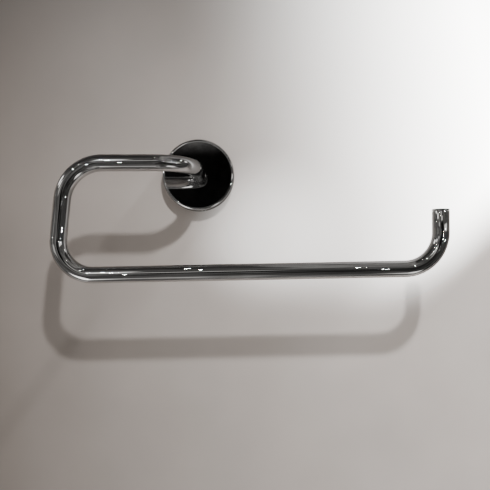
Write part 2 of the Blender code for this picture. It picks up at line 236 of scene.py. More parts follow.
# Moulded nylon: mid grey, satin, with the fine spark-eroded texture of its mould.
NYLON = Finish("moulded_nylon", "#8C8E90", "#838587", 0.0, 0.48, 0.58, 6 * MM, 0.3 * MM, 0.02 * MM)


class Paint:
    """Builds each finish once and hands it out by material slot."""

    FINISHES = {
        Slot.CHROME: CHROME_PLATE,
        Slot.ZINC_PLATE: ZINC_PLATE,
        Slot.STAINLESS: STAINLESS,
        Slot.DIE_CAST: DIE_CAST,
        Slot.BRASS: BRASS,
        Slot.NYLON: NYLON,
    }

    def __init__(self) -> None:
        """Builds every finish."""
        self.materials = {slot: finish.build() for slot, finish in self.FINISHES.items()}

    def of(self, slot: Slot) -> bpy.types.Material:
        """The material of a slot."""
        return self.materials[slot]


# ---------------------------------------------------------------- workshop


def arc(centre: Point, radius: float, start: float, end: float, steps: int) -> list[Point]:
    """Points of a turned profile along an arc.

    Args:
        centre: Its centre as (r, z).
        radius: Its radius.
        start: First angle, in degrees from +r towards +z.
        end: Last angle.
        steps: How many chords.

    Returns:
        steps + 1 points (r, z).
    """
    angles = (math.radians(start + (end - start) * i / steps) for i in range(steps + 1))
    return [(centre[0] + radius * math.cos(a), centre[1] + radius * math.sin(a)) for a in angles]


def turned(profile: Sequence[Point], steps: int = 96, ring: bool = False) -> bmesh.types.BMesh:
    """Turns a profile round +Z into a closed solid.

    Args:
        profile: Points (r, z), from axis to axis, or all the way round for a ring.
        steps: Facets round the axis.
        ring: Whether the profile closes on itself.

    Returns:
        The solid.
    """
    bm = bmesh.new()
    verts = [bm.verts.new((r, 0.0, z)) for r, z in profile]
    edges = [bm.edges.new(pair) for pair in zip(verts, verts[1:])]
    if ring:
        edges.append(bm.edges.new((verts[-1], verts[0])))
    bmesh.ops.spin(
        bm, geom=verts + edges, cent=(0, 0, 0), axis=(0, 0, 1), angle=FULL_TURN, steps=steps, use_merge=True,
    )
    bmesh.ops.remove_doubles(bm, verts=bm.verts, dist=MERGE)
    bmesh.ops.recalc_face_normals(bm, faces=bm.faces)
    return bm


def soften(bm: bmesh.types.BMesh, width: float, least: float = 50.0, segments: int = 2) -> None:
    """Rounds the edges of a solid that turn by more than an angle, in degrees."""
    sharp = [e for e in bm.edges if e.is_manifold and e.calc_face_angle() > math.radians(least)]
    bmesh.ops.bevel(
        bm, geom=sharp, offset=width, affect="EDGES", segments=segments, profile=0.5, material=-1,
        offset_type="OFFSET", clamp_overlap=True,
    )


def mesh_object(name: str, bm: bmesh.types.BMesh) -> bpy.types.Object:
    """Makes a smooth-shaded object of a bmesh, and frees the bmesh."""
    mesh = bpy.data.meshes.new(name)
    bm.to_mesh(mesh)
    bm.free()
    mesh.shade_smooth()
    mesh.set_sharp_from_angle(angle=SHARP_ANGLE)
    item = bpy.data.objects.new(name, mesh)
    bpy.context.scene.collection.objects.link(item)
    return item


def bored(stock: bmesh.types.BMesh, cutters: Iterable[bmesh.types.BMesh]) -> bmesh.types.BMesh:
    """Cuts solids out of another with Booleans, and applies them.

    Args:
        stock: The solid to cut.
        cutters: The solids to take away.

    Returns:
        What is left.
    """
    item = mesh_object("stock", stock)
    tools = [mesh_object("cutter", cutter) for cutter in cutters]
    for tool in tools:
        modifier = item.modifiers.new("bore", "BOOLEAN")
        modifier.operation = "DIFFERENCE"
        modifier.solver = "EXACT"
        modifier.object = tool
    view_layer = bpy.context.evaluated_depsgraph_get()
    result = bmesh.new()
    result.from_mesh(item.evaluated_get(view_layer).to_mesh())
    for used in (item, *tools):
        bpy.data.objects.remove(used, do_unlink=True)
    bmesh.ops.remove_doubles(result, verts=result.verts, dist=MERGE)
    return result


def cross_prism(width: float, reach: float, low: float, high: float, point: float) -> bmesh.types.BMesh:
    """A plus-shaped prism that narrows towards its high end, for a cross recess.

    Args:
        width: Width of each arm.
        reach: Length of each arm from the middle.
        low: Where it starts along Z.
        high: Where it ends.
        point: Size of its high end, as a share of its low end.

    Returns:
        The prism.
    """
    bm = bmesh.new()
    bmesh.ops.create_grid(bm, x_segments=3, y_segments=3, size=1.0)
    # The grid's lines lie at a third and at one, and this is between them.
    middle = 0.5
    corners = [f for f in bm.faces if min(abs(c) for c in f.calc_center_median().xy) > middle]
    bmesh.ops.delete(bm, geom=corners, context="FACES")
    for vert in bm.verts:
        for axis in (0, 1):
            size = reach if abs(vert.co[axis]) > middle else width / 2
            vert.co[axis] = math.copysign(size, vert.co[axis])
        vert.co.z = low
    grown = bmesh.ops.extrude_face_region(bm, geom=bm.faces)["geom"]
    end = [g for g in grown if isinstance(g, bmesh.types.BMVert)]
    bmesh.ops.translate(bm, verts=end, vec=(0, 0, high - low))
    bmesh.ops.scale(bm, verts=end, vec=(point, point, 1.0))
    bmesh.ops.recalc_face_normals(bm, faces=bm.faces)
    return bm


class ThreadedStock:
    """A rod with a real helical thread, grown ring by ring at both ends.

    The thread's first turn starts at z = 0 and it climbs along +Z, right-handed.
    """

    STEPS = 48
    # Heights on one turn, in pitches: the end of the root, both sides of the crest, and the next root.
    FLANKS = (0.1, 0.48, 0.6, 1.0)
    # How far from its ends the thread's outline runs, in pitches.
    RIM_REACH = 1.3

    def __init__(self, root: float, crest: float, pitch: float, turns: int) -> None:
        """Winds the thread.

        Args:
            root: Radius at the bottom of the thread.
            crest: Radius at its top.
            pitch: Distance from one turn to the next.
            turns: How many turns.
        """
        self.bm = bmesh.new()
        shape = [(root, 0.0), *zip((root, crest, crest, root), self.FLANKS)]
        verts = [self.bm.verts.new((r, 0.0, z * pitch)) for r, z in shape]
        edges = [self.bm.edges.new(pair) for pair in zip(verts, verts[1:])]
        bmesh.ops.spin(
            self.bm, geom=verts + edges, cent=(0, 0, 0), axis=(0, 0, 1), angle=FULL_TURN * turns,
            steps=self.STEPS * turns, dvec=(0, 0, pitch / self.STEPS), use_merge=False,
        )
        bmesh.ops.remove_doubles(self.bm, verts=self.bm.verts, dist=MERGE)
        self.length = pitch * (turns + 1)
        rims = [e for e in self.bm.edges if e.is_boundary]
        self.rings = [
            [e for e in rims if self.height(e) < self.RIM_REACH * pitch],
            [e for e in rims if self.height(e) > self.length - self.RIM_REACH * pitch],
        ]

    @staticmethod
    def height(edge: bmesh.types.BMEdge) -> float:
        """The mean height of an edge."""
        return (edge.verts[0].co.z + edge.verts[1].co.z) / 2

    def grow(self, end: int, radius: float, z: float, hexagon: bool = False) -> None:
        """Extrudes the ring at an end to a circle, or to a hexagon, in one plane.

        Args:
            end: 0 for the low end, 1 for the high end.
            radius: The circle's radius, or half the hexagon's distance across flats.
            z: Height of the plane.
            hexagon: Whether the new ring is a hexagon.
        """
        grown = bmesh.ops.extrude_edge_only(self.bm, edges=self.rings[end])["geom"]
        verts = [g for g in grown if isinstance(g, bmesh.types.BMVert)]
        for vert in verts:
            angle = math.atan2(vert.co.y, vert.co.x)
            sixth = (angle % (math.pi / 3)) - math.pi / 6
            reach = radius / math.cos(sixth) if hexagon else radius
            vert.co = Vector((reach * math.cos(angle), reach * math.sin(angle), z))
        bmesh.ops.remove_doubles(self.bm, verts=verts, dist=MERGE)
        self.rings[end] = [
            e for e in self.bm.edges if e.is_boundary and all(abs(v.co.z - z) < MERGE for v in e.verts)
        ]

    def close(self, end: int) -> None:
        """Fills the ring at an end."""
        bmesh.ops.holes_fill(self.bm, edges=self.rings[end], sides=0)

    def finished(self) -> bmesh.types.BMesh:
        """The rod, with its faces pointing out."""
        bmesh.ops.recalc_face_normals(self.bm, faces=self.bm.faces)
        return self.bm


class TubeBender:
    """Feeds a round tube forward and bends it, as a tube bender does."""

    SIDES = 96
    STEP = math.radians(2.5)

    def __init__(self, radius: float, wall: float, start: Vector, heading: Vector) -> None:
        """Sets the tube's first end in place.

        Args:
            radius: Outer radius.
            wall: Wall thickness.
            start: Middle of the first end.
            heading: Direction of the first feed.
        """
        self.bm = bmesh.new()
        self.position = start
        self.heading = heading
        bmesh.ops.create_circle(self.bm, cap_ends=True, segments=self.SIDES, radius=radius)
        bmesh.ops.inset_individual(self.bm, faces=list(self.bm.faces), thickness=wall)
        bore = max(self.bm.faces, key=lambda face: len(face.verts))
        bmesh.ops.delete(self.bm, geom=[bore], context="FACES")
        turn = Vector((0, 0, 1)).rotation_difference(heading).to_matrix()
        bmesh.ops.rotate(self.bm, verts=self.bm.verts, cent=(0, 0, 0), matrix=turn)
        bmesh.ops.translate(self.bm, verts=self.bm.verts, vec=start)
        self.open_end = list(self.bm.faces)
        self.has_length = False

    def advance(self, grown: Iterable[bmesh.types.BMElemSeq]) -> None:
        """Makes the newest faces the open end; only the tube's first end keeps its own."""
        if self.has_length:
            bmesh.ops.delete(self.bm, geom=self.open_end, context="FACES")
        self.open_end = [g for g in grown if isinstance(g, bmesh.types.BMFace)]
        self.has_length = True

    def feed(self, length: float) -> None:
        """Pushes the open end straight on by a length."""
        step = self.heading * length
        grown = bmesh.ops.extrude_face_region(self.bm, geom=self.open_end)["geom"]
        verts = [g for g in grown if isinstance(g, bmesh.types.BMVert)]
        bmesh.ops.translate(self.bm, verts=verts, vec=step)
        self.advance(grown)
        self.position = self.position + step

    def bend(self, radius: float, angle: float, axis: Vector) -> None:
        """Turns the open end round an axis.

        Args:
            radius: Centreline radius.
            angle: How far, in radians, right-handed about the axis.
            axis: Unit vector, square to the heading.
        """
        centre = self.position + radius * axis.cross(self.heading)
        grown = bmesh.ops.spin(
            self.bm, geom=self.open_end, cent=centre, axis=axis, angle=angle, steps=round(angle / self.STEP),
        )["geom_last"]
        self.advance(grown)
        turn = Matrix.Rotation(angle, 3, axis)
        self.position = centre + turn @ (self.position - centre)
        self.heading = turn @ self.heading


@dataclass
class Assembly:
    """A sub-assembly that dresses its pieces and hangs them on their bodies.

    Attributes:
        paint: Where its finishes come from.
        fit_gap: Clearance between pieces that touch on the real holder.
    """

    paint: Paint
    fit_gap: float = 0.3 * MM

    def fit(
        self, node: str, bm: bmesh.types.BMesh, place: Matrix, slot: Slot, body: Body,
    ) -> bpy.types.Object:
        """Puts a finished piece in place of its CAD node.

        Args:
            node: The CAD node that it stands for.
            bm: Its mesh, in its own frame.
            place: From its own frame to the holder's.
            slot: Its material slot.
            body: The body that it rides on.

        Returns:
            The piece.
        """
        bmesh.ops.transform(bm, matrix=place, verts=bm.verts)
        piece = mesh_object(node + "_fine", bm)
        piece.data.materials.append(self.paint.of(slot))
        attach(piece, body.value)
        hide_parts(node)
        log.info("%s: %d faces, %s, on %s", piece.name, len(piece.data.polygons), slot.value, body.value)
        return piece


# ---------------------------------------------------------------- sub-assemblies


@dataclass
class Arm(Assembly):
    """The bent tube with its end plug, and the bolt, washers and insert that hold it on the rosette.

    Attributes:
        radius: Outer radius of the tube.
        wall: Its wall thickness.
        post_start: Wall to the near end of its post.
        reach: Wall to the plane that the arm lies in.
        elbow_radius: Centreline radius of the elbow, post to rail.
        rail_length: Post axis to the start of the upper bend.
        upper_bend_radius: Centreline radius, rail to leg.
        leg_length: Straight part of the leg.
        leg_lean: How far the leg's foot leans outwards, in degrees.
        lower_bend_radius: Centreline radius, leg to bar.
        bar_length: Straight part of the bar.
        bar_rise: How much the bar climbs towards its tip, in degrees.
        tip_bend_radius: Centreline radius, bar to tip.
        tip_length: Straight part of the tip.
        cut_edge: Rounding of the tube's cut ends.
        plug_cap: Thickness of the end plug's cap.
        plug_edge: Rounding of the cap.
        plug_spigot: Length of the plug's spigot.
        insert_length: Length of the threaded insert in the post.
        insert_grooves: Grooves round it.
        insert_groove: Their depth, and its chamfers.
        bolt_hole: Radius of the holes that the bolt goes through.
        bolt_radius: Radius over the bolt's thread.
        bolt_root: Radius at the bottom of its thread.
        bolt_pitch: Its thread's pitch.
        bolt_turns: Turns of thread.
        bolt_neck: Length without thread under its head.
        bolt_length: Length under its head.
        bolt_point: How much slimmer its end is than the bottom of its thread.
        thread_run: Length of the plain rod at each end of the thread, in pitches.
        head_seat: Wall to the underside of its head.
        head_radius: Radius of its head.
        head_height: Height of its head.
        head_land: Radius of the flat round its socket.
        head_steps: Rings of its dome.
        socket: Width of its socket across flats.
        socket_depth: Depth of its socket.
        plain_seat: Wall to the near face of the plain washer.
        plain_radius: Radius of the plain washer.
        plain_thickness: Its thickness.
        plain_edge: Rounding of its edges.
        lock_seat: Wall to the near face of the lock washer.
        lock_radius: Radius of the lock washer.
        lock_thickness: Thickness of its wire.
        lock_rise: How far its cut ends stand apart along the bolt.
        lock_gap: Angle of its cut, in degrees.
        lock_edge: Rounding of its wire.
        lock_steps: Facets round it.
    """

    radius: float = 5.0 * MM
    wall: float = 1.0 * MM
    post_start: float = 10.3 * MM
    reach: float = 58.0 * MM
    elbow_radius: float = 22.0 * MM
    rail_length: float = 53.0 * MM
    upper_bend_radius: float = 24.0 * MM
    leg_length: float = 23.0 * MM
    leg_lean: float = 5.5
    lower_bend_radius: float = 20.5 * MM
    bar_length: float = 186.5 * MM
    bar_rise: float = 1.0
    tip_bend_radius: float = 22.0 * MM
    tip_length: float = 12.5 * MM
    cut_edge: float = 0.15 * MM
    plug_cap: float = 1.1 * MM
    plug_edge: float = 0.5 * MM
    plug_spigot: float = 6.0 * MM
    insert_length: float = 14.0 * MM
    insert_grooves: int = 3
    insert_groove: float = 0.25 * MM
    bolt_hole: float = 2.8 * MM
    bolt_radius: float = 2.5 * MM
    bolt_root: float = 2.05 * MM
    bolt_pitch: float = 0.8 * MM
    bolt_turns: int = 15
    bolt_neck: float = 1.4 * MM
    bolt_length: float = 15.0 * MM
    bolt_point: float = 0.25 * MM
    thread_run: float = 0.25
    head_seat: float = 5.15 * MM
    head_radius: float = 4.75 * MM
    head_height: float = 2.6 * MM
    head_land: float = 2.2 * MM
    head_steps: int = 16
    socket: float = 3.0 * MM
    socket_depth: float = 1.7 * MM
    plain_seat: float = 6.9 * MM
    plain_radius: float = 5.0 * MM
    plain_thickness: float = 0.8 * MM
    plain_edge: float = 0.06 * MM
    lock_seat: float = 5.45 * MM
    lock_radius: float = 4.45 * MM
    lock_thickness: float = 0.9 * MM
    lock_rise: float = 0.25 * MM
    lock_gap: float = 9.0
    lock_edge: float = 0.1 * MM
    lock_steps: int = 90

    def build(self) -> None:
        """Makes every piece of the arm."""
        tip = self.tube()
        self.end_plug(tip)
        self.insert()
        self.bolt()
        self.plain_washer()
        self.lock_washer()

    def tube(self) -> Vector:
        """Bends the tube: post, elbow, rail, leg, bar and tip.

        Returns:
            The middle of its free end.
        """
        lean = math.radians(self.leg_lean)
        rise = math.radians(self.bar_rise)
        outwards = Vector((0, -1, 0))
        bender = TubeBender(self.radius, self.wall, outwards * self.post_start, outwards)
        bender.feed(self.reach - self.post_start - self.elbow_radius)
        bender.bend(self.elbow_radius, math.pi / 2, Vector((0, 0, -1)))
        bender.feed(self.rail_length - self.elbow_radius)
        bender.bend(self.upper_bend_radius, math.pi / 2 - lean, outwards)
        bender.feed(self.leg_length)
        bender.bend(self.lower_bend_radius, math.pi / 2 + lean + rise, outwards)
        bender.feed(self.bar_length)
        bender.bend(self.tip_bend_radius, math.pi / 2 - rise, outwards)
        bender.feed(self.tip_length)
        bmesh.ops.recalc_face_normals(bender.bm, faces=bender.bm.faces)
        soften(bender.bm, self.cut_edge)
        self.fit("arm_tube", bender.bm, Matrix(), Slot.CHROME, Body.ARM)
        return bender.position

    def end_plug(self, tip: Vector) -> None:
        """Turns the cap that closes the tip, with its spigot inside the tube.

        Args:
            tip: The middle of the tube's free end.
        """
        spigot = self.radius - self.wall - self.fit_gap
        chamfer = self.plug_edge
        low_edge = self.cut_edge
        profile = [
            (0, -self.plug_spigot), (spigot - chamfer, -self.plug_spigot),
            (spigot, -self.plug_spigot + chamfer),
            (spigot, 0),
            *arc((self.radius - low_edge, low_edge), low_edge, -90, 0, 4),
            *arc((self.radius - self.plug_edge, self.plug_cap - self.plug_edge), self.plug_edge, 0, 90, 10),
            (0, self.plug_cap),
        ]
        place = Matrix.Translation(tip + Vector((0, 0, self.fit_gap)))
        self.fit("end_plug", turned(profile), place, Slot.CHROME, Body.ARM)

    def insert(self) -> None:
        """Turns the threaded insert in the post, with the grooves that keep it in the tube."""
        outer = self.radius - self.wall - self.fit_gap
        groove = self.insert_groove
        step = self.insert_length / (2 * self.insert_grooves + 1)
        grooves = []
        for i in range(self.insert_grooves):
            start, end = (2 * i + 1) * step, (2 * i + 2) * step
            low = outer - groove
            grooves += [(outer, start), (low, start + groove), (low, end - groove), (outer, end)]
        profile = [
            (self.bolt_hole + groove, 0), (outer - groove, 0), (outer, groove), *grooves,
            (outer, self.insert_length - groove), (outer - groove, self.insert_length),
            (self.bolt_hole, self.insert_length), (self.bolt_hole, groove),
        ]
        place = Matrix.Translation((0, -self.post_start, 0)) @ OUT_OF_WALL
        self.fit("post_ferrule", turned(profile, ring=True), place, Slot.BRASS, Body.ARM)

    def bolt(self) -> None:
        """Rolls the button head bolt: thread, neck, domed head and hexagon socket."""
        rod = ThreadedStock(self.bolt_root, self.bolt_radius, self.bolt_pitch, self.bolt_turns)
        under_head = -self.bolt_neck
        run = self.thread_run * self.bolt_pitch
        rod.grow(1, self.bolt_root, rod.length + run)
        rod.grow(1, self.bolt_root - self.bolt_point, under_head + self.bolt_length)
        rod.close(1)
        rod.grow(0, self.bolt_root, -run)
        rod.grow(0, self.bolt_root, under_head)
        rod.grow(0, self.head_radius - self.cut_edge, under_head)
        last = math.acos(self.head_land / self.head_radius)
        for i in range(self.head_steps):
            angle = last * (i + 1) / self.head_steps
            height = self.head_height * math.sin(angle) / math.sin(last)
            rod.grow(0, self.head_radius * math.cos(angle), under_head - self.cut_edge - height)
        top = under_head - self.cut_edge - self.head_height
        rod.grow(0, self.socket / 2, top, hexagon=True)
        rod.grow(0, self.socket / 2, top + self.socket_depth, hexagon=True)
        rod.close(0)
        place = Matrix.Translation((0, under_head - self.head_seat, 0)) @ OUT_OF_WALL
        self.fit("arm_bolt", rod.finished(), place, Slot.ZINC_PLATE, Body.ARM)

    def plain_washer(self) -> None:
        """Stamps the plain washer, its upper edge rounded by the punch."""
        profile = [
            (self.bolt_hole, 0), (self.plain_radius - self.cut_edge, 0), (self.plain_radius, self.cut_edge),
            (self.plain_radius, self.plain_thickness), (self.bolt_hole, self.plain_thickness),
        ]
        washer = turned(profile, ring=True)
        soften(washer, self.plain_edge)
        place = Matrix.Translation((0, -self.plain_seat, 0)) @ OUT_OF_WALL
        self.fit("plain_washer", washer, place, Slot.ZINC_PLATE, Body.ARM)

    def lock_washer(self) -> None:
        """Winds the split lock washer from square wire, one end a little higher than the other."""
        wire = bmesh.new()
        corners = (
            (self.bolt_hole, 0), (self.lock_radius, 0), (self.lock_radius, self.lock_thickness),
            (self.bolt_hole, self.lock_thickness),
        )
        section = wire.faces.new([wire.verts.new((r, 0, z)) for r, z in corners])
        bmesh.ops.spin(
            wire, geom=[section], cent=(0, 0, 0), axis=(0, 0, 1), steps=self.lock_steps,
            angle=FULL_TURN - math.radians(self.lock_gap), dvec=(0, 0, self.lock_rise / self.lock_steps),
        )
        bmesh.ops.recalc_face_normals(wire, faces=wire.faces)
        soften(wire, self.lock_edge)
        place = Matrix.Translation((0, -self.lock_seat, 0)) @ OUT_OF_WALL
        self.fit("lock_washer", wire, place, Slot.ZINC_PLATE, Body.ARM)


@dataclass
class Rosette(Assembly):
    """The turned cup that hides the bracket, and the grub screw that holds it there.

    Attributes:
        radius: Outer radius.
        depth: Wall to its flat face.
        floor: Thickness of its face.
        rim: Thickness of its rim.
        edge: Rounding between face and rim.
        foot_edge: Rounding where the rim meets the wall.
        bolt_hole: Radius of its centre hole.
        grub_height: Wall to the grub screw's axis.
        grub_turn: The grub screw's direction, in degrees from straight down towards the right.
        grub_radius: Radius over the grub screw's thread.
        grub_root: Radius at the bottom of its thread.
        grub_pitch: Its thread's pitch.
        grub_mouth: Radius of its hole's countersunk mouth.
        grub_tip: Radius of its point.
        grub_point: Length of its cone.
        grub_proud: How far its point stands out of the rim's bore.
        grub_sunk: Its outer end below the rim's surface.
        grub_run: Length of the plain rod past its thread.
        grub_shoulder: Where its cone starts, as a share of the cone's length.
        socket: Width of its socket across flats.
        socket_depth: Depth of its socket.
    """

    radius: float = 25.0 * MM
    depth: float = 10.0 * MM
    floor: float = 2.0 * MM
    rim: float = 2.5 * MM
    edge: float = 2.0 * MM
    foot_edge: float = 0.4 * MM
    bolt_hole: float = 2.8 * MM
    grub_height: float = 5.5 * MM
    grub_turn: float = 8.0
    grub_radius: float = 2.0 * MM
    grub_root: float = 1.7 * MM
    grub_pitch: float = 0.5 * MM
    grub_mouth: float = 3.0 * MM
    grub_tip: float = 1.0 * MM
    grub_point: float = 1.0 * MM
    grub_proud: float = 0.1 * MM
    grub_sunk: float = 0.4 * MM
    grub_run: float = 0.15 * MM
    grub_shoulder: float = 0.85
    socket: float = 2.0 * MM
    socket_depth: float = 1.1 * MM

    @property
    def bore(self) -> float:
        """Inner radius of the rim."""
        return self.radius - self.rim

    @property
    def grub_axis(self) -> Matrix:
        """From the grub screw's own frame, +Z outwards from the rosette's axis, to the holder's."""
        turn = Matrix.Rotation(math.pi - math.radians(self.grub_turn), 4, "Y")
        return Matrix.Translation((0, -self.grub_height, 0)) @ turn

    def build(self) -> None:
        """Makes the cup and its grub screw."""
        self.cup()
        self.grub_screw()

    def cup(self) -> None:
        """Turns the cup and drills it for the bolt and the grub screw."""
        small = self.foot_edge
        inside = self.depth - self.floor
        profile = [
            (self.bolt_hole + small, inside), *arc((self.bore - small, inside - small), small, 90, 0, 6),
            (self.bore, small), (self.bore + small, 0),
            *arc((self.radius - small, small), small, -90, 0, 6),
            *arc((self.radius - self.edge, self.depth - self.edge), self.edge, 0, 90, 20),
            (self.bolt_hole, self.depth), (self.bolt_hole, inside + small),
        ]
        cup = turned(profile, steps=256, ring=True)
        hole_radius = self.grub_radius + self.fit_gap
        mouth = self.grub_mouth - hole_radius
        start, end = self.bore - CUTTER_MARGIN, self.radius + CUTTER_MARGIN
        drill = turned([
            (0, start), (hole_radius, start), (hole_radius, self.radius - mouth),
            (self.grub_mouth + CUTTER_MARGIN, end), (0, end),
        ])
        bmesh.ops.transform(cup, matrix=OUT_OF_WALL, verts=cup.verts)
        bmesh.ops.transform(drill, matrix=self.grub_axis, verts=drill.verts)
        cup = bored(cup, [drill])
        self.fit("rosette_cover", cup, Matrix(), Slot.CHROME, Body.ROSETTE)

    def grub_screw(self) -> None:
        """Rolls the grub screw: cone point, thread and hexagon socket."""
        rod = ThreadedStock(self.grub_root, self.grub_radius, self.grub_pitch, 1)
        low = self.bore - self.grub_proud
        top = self.radius - self.grub_sunk
        lift = top - self.grub_run - rod.length
        rod.grow(0, self.grub_root, low + self.grub_point * self.grub_shoulder - lift)
        rod.grow(0, self.grub_tip, low - lift)
        rod.close(0)
        rod.grow(1, self.grub_root, top - lift)
        rod.grow(1, self.socket / 2, top - lift, hexagon=True)
        rod.grow(1, self.socket / 2, top - self.socket_depth - lift, hexagon=True)
        rod.close(1)
        place = self.grub_axis @ Matrix.Translation((0, 0, lift))
        self.fit("grub_screw", rod.finished(), place, Slot.STAINLESS, Body.GRUB)


@dataclass
class WallFixing(Assembly):
    """What stays on the wall: the bracket, its two screws and their plugs.

    Attributes:
        radius: Radius of the bracket at its front.
        dovetail: How much slimmer it is at the wall.
        base: Thickness of its base.
        depth: Wall to its front.
        rim: Thickness of its rim.
        recess: Radius of the recess for the bolt's head.
        recess_floor: Thickness of the base in the recess.
        cast_edge: Rounding of its cast edges.
        screw_spacing: Distance between the screws.
        hole_radius: Radius of the screw holes.
        screw_radius: Radius over the screws' thread.
        screw_root: Radius at the bottom of the thread.
        screw_pitch: Pitch of the thread.
        screw_turns: Turns of thread.
        screw_run: Length of the plain rod before its thread, and of the step to its shank, in pitches.
        screw_shank: Where the thread starts below the head's top.
        screw_length: Length of a screw.
        screw_tip: Length of its point.
        screw_least: How slim its point gets, as a share of the rod.
        head_radius: Radius of its head.
        head_edge: Clearance round its rim and its shank.
        head_land: Height of the rim of its head.
        cross_width: Width of the cross recess.
        cross_reach: Half the cross recess's span.
        cross_depth: Its depth.
        cross_proud: How far its cutter starts outside the head.
        cross_point: Size of its bottom, as a share of its mouth.
        plug_radius: Radius of a plug.
        plug_length: Its length.
        plug_sunk: Its mouth below the wall's surface.
        plug_ribs: How many ribs it has.
        plug_rib_depth: Their depth.
        plug_collar: Length of the smooth part at its mouth.
        plug_nose: Length of the plain end past its ribs.
        plug_edge: Rounding of its mouth.
        plug_chamfer: Chamfer of its far end.
        plug_slot_width: Width of its slot.
        plug_slot_length: Length of its slot, from its far end.
    """

    radius: float = 22.2 * MM
    dovetail: float = 0.25 * MM
    base: float = 2.8 * MM
    depth: float = 7.5 * MM
    rim: float = 3.0 * MM
    recess: float = 7.0 * MM
    recess_floor: float = 1.6 * MM
    cast_edge: float = 0.5 * MM
    screw_spacing: float = 28.0 * MM
    hole_radius: float = 2.3 * MM
    screw_radius: float = 2.0 * MM
    screw_root: float = 1.4 * MM
    screw_pitch: float = 1.4 * MM
    screw_turns: int = 15
    screw_run: float = 0.3
    screw_shank: float = 6.0 * MM
    screw_length: float = 30.0 * MM
    screw_tip: float = 4.0 * MM
    screw_least: float = 0.08
    head_radius: float = 3.8 * MM
    head_edge: float = 0.1 * MM
    head_land: float = 0.15 * MM
    cross_width: float = 1.0 * MM
    cross_reach: float = 2.2 * MM
    cross_depth: float = 1.6 * MM
    cross_proud: float = 0.5 * MM
    cross_point: float = 0.55
    plug_radius: float = 3.0 * MM
    plug_length: float = 28.0 * MM
    plug_sunk: float = 2.3 * MM
    plug_ribs: int = 6
    plug_rib_depth: float = 0.35 * MM
    plug_collar: float = 4.0 * MM
    plug_nose: float = 2.0 * MM
    plug_edge: float = 0.2 * MM
    plug_chamfer: float = 0.5 * MM
    plug_slot_width: float = 0.9 * MM
    plug_slot_length: float = 18.0 * MM

    def build(self) -> None:
        """Makes the bracket, the screws and the plugs."""
        self.bracket()
        for side, which in ((1, "upper"), (-1, "lower")):
            height = side * self.screw_spacing / 2
            self.screw(which, height)
            self.plug(which, height)

    def bracket(self) -> None:
        """Casts the bracket: a dish with a flat back, a bolt recess and two countersunk holes."""
        inner = self.radius - self.rim
        small = self.cast_edge
        tiny = small / 2
        profile = [
            (0, 0), (self.radius - self.dovetail - tiny, 0), (self.radius - self.dovetail, tiny),
            *arc((self.radius - small, self.depth - small), small, 0, 90, 6),
            *arc((inner + tiny, self.depth - tiny), tiny, 90, 180, 4),
            *arc((inner - small, self.base + small), small, 0, -90, 6),
            *arc((self.recess + tiny, self.base - tiny), tiny, 90, 180, 4),
            (self.recess, self.recess_floor), (0, self.recess_floor),
        ]
        dish = turned(profile, steps=192)
        wide = self.head_radius + self.fit_gap * math.sqrt(2)
        end = self.base + CUTTER_MARGIN
        neck = self.base - (wide - self.hole_radius)
        hole = [
            (0, -CUTTER_MARGIN), (self.hole_radius, -CUTTER_MARGIN), (self.hole_radius, neck),
            (wide, self.base), (wide, end), (0, end),
        ]
        drills = []
        for side in (1, -1):
            drill = turned(hole)
            bmesh.ops.translate(drill, verts=drill.verts, vec=(0, side * self.screw_spacing / 2, 0))
            drills.append(drill)
        self.fit("wall_bracket", bored(dish, drills), OUT_OF_WALL, Slot.DIE_CAST, Body.WALL_SIDE)

    def screw(self, which: str, height: float) -> None:
        """Rolls a countersunk screw with a cross recess.

        Args:
            which: Which of the two it is.
            height: Its height above the bracket's middle.
        """
        rod = ThreadedStock(self.screw_root, self.screw_radius, self.screw_pitch, self.screw_turns)
        top = -self.screw_shank
        point = top + self.screw_length
        cone = self.head_radius - self.screw_radius
        shank, rim = self.screw_radius - self.head_edge, self.head_radius - self.head_edge
        run = self.screw_run * self.screw_pitch
        for radius, z in (
            (self.screw_root, -run), (shank, -2 * run),
            (shank, top + cone + self.head_land), (rim, top + self.head_land), (rim, top),
        ):
            rod.grow(0, radius, z)
        rod.close(0)
        rod.grow(1, self.screw_root, point)
        rod.close(1)
        body = rod.finished()
        for vert in body.verts:
            if vert.co.z > point - self.screw_tip:
                vert.co.xy *= max(self.screw_least, (point - vert.co.z) / self.screw_tip)
        bmesh.ops.translate(body, verts=body.verts, vec=(0, 0, -top))
        recess = cross_prism(
            self.cross_width, self.cross_reach, -self.cross_proud, self.cross_depth, self.cross_point,
        )
        place = Matrix.Translation((0, -self.base, height)) @ INTO_WALL
        self.fit("wall_screw_" + which, bored(body, [recess]), place, Slot.ZINC_PLATE, Body.WALL_SIDE)

    def plug(self, which: str, height: float) -> None:
        """Moulds an expansion plug, ribbed outside and slotted from its far end.

        Args:
            which: Which of the two it is.
            height: Its height above the bracket's middle.
        """
        rib_length = (self.plug_length - self.plug_collar - self.plug_nose) / self.plug_ribs
        small, high = self.plug_edge, self.plug_radius
        low = high - self.plug_rib_depth
